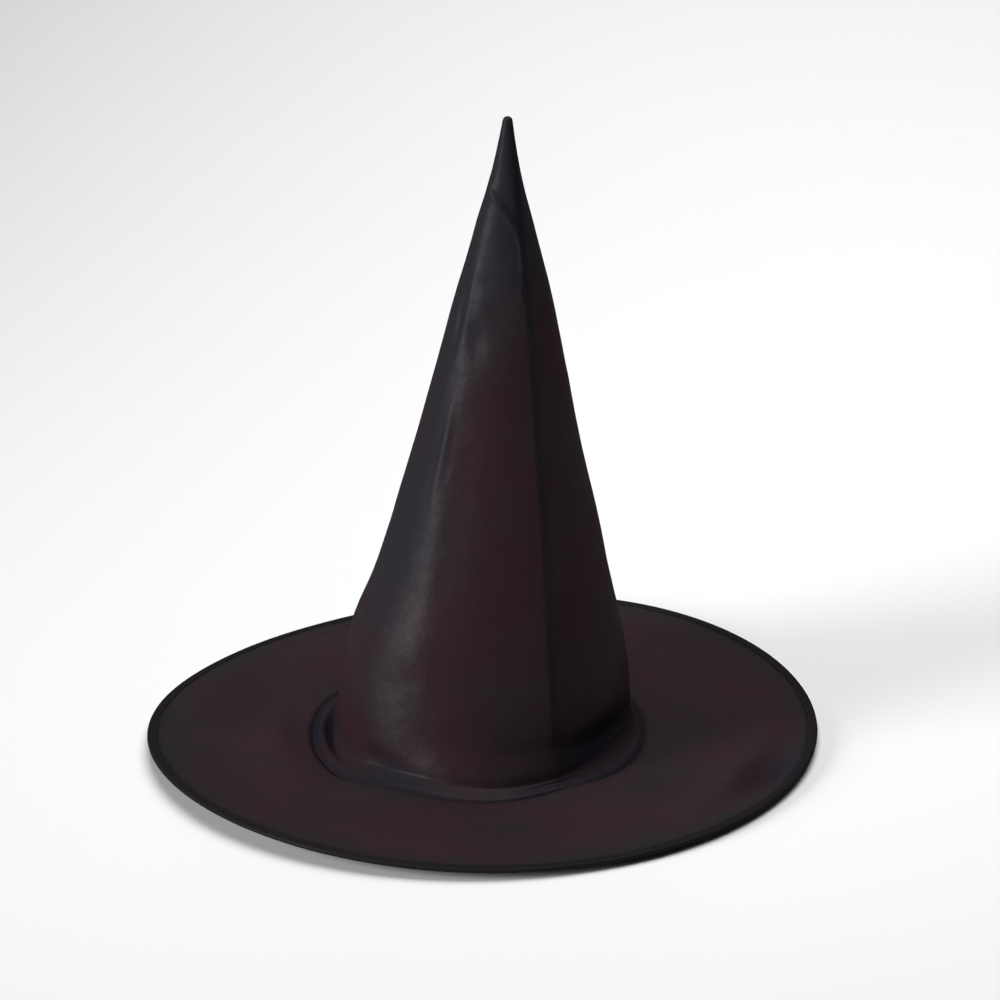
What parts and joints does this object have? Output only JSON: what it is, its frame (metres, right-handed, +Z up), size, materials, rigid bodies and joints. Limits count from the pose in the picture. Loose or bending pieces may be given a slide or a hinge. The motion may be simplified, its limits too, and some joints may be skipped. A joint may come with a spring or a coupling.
{
  "type": "witch hat",
  "caption": "Pointed witch hat of black satin with a creased, leaning crown, a wide wired brim with a bound edge, and a head tape inside the opening.",
  "frame": {"origin": "centre of the brim's underside, on the surface that the hat stands on", "axes": "+Z up through the crown, -Y to the front, +X to the wearer's left, the side the tip leans to"},
  "size_m": [0.38, 0.38, 0.366],
  "materials": {
    "satin": "black polyester satin, soft sheen",
    "stiffener": "matt black nonwoven interlining",
    "binding": "black satin bias binding",
    "thread": "black spun polyester thread",
    "tape": "black grosgrain ribbon",
    "label": "blank white woven satin",
    "wire": "bright spring steel",
    "ferrule": "crimped tube"
  },
  "bodies": {
    "hat": {"crown_shell": "satin", "brim_top_cloth": "satin", "brim_under_cloth": "satin", "crown_interlining": "stiffener", "brim_interlining": "stiffener", "brim_edge_binding": "binding", "crown_seam_stitching": "thread", "brim_edge_stitching": "thread", "base_seam_stitching": "thread", "head_tape_stitching": "thread", "head_tape_join_tack": "thread", "care_label_tack": "thread", "brim_wire": "wire", "brim_wire_ferrule": "ferrule", "head_tape": "tape"},
    "care_label": {"care_label": "label"}
  },
  "joints": [
    {"name": "care_label_turn", "type": "hinge", "parent": "hat", "child": "care_label", "pos_m": [0.00402, 0.05851, 0.0935], "axis": [0.0856, -0.295, 0.9516], "range_deg": [-70, 70]}
  ]
}
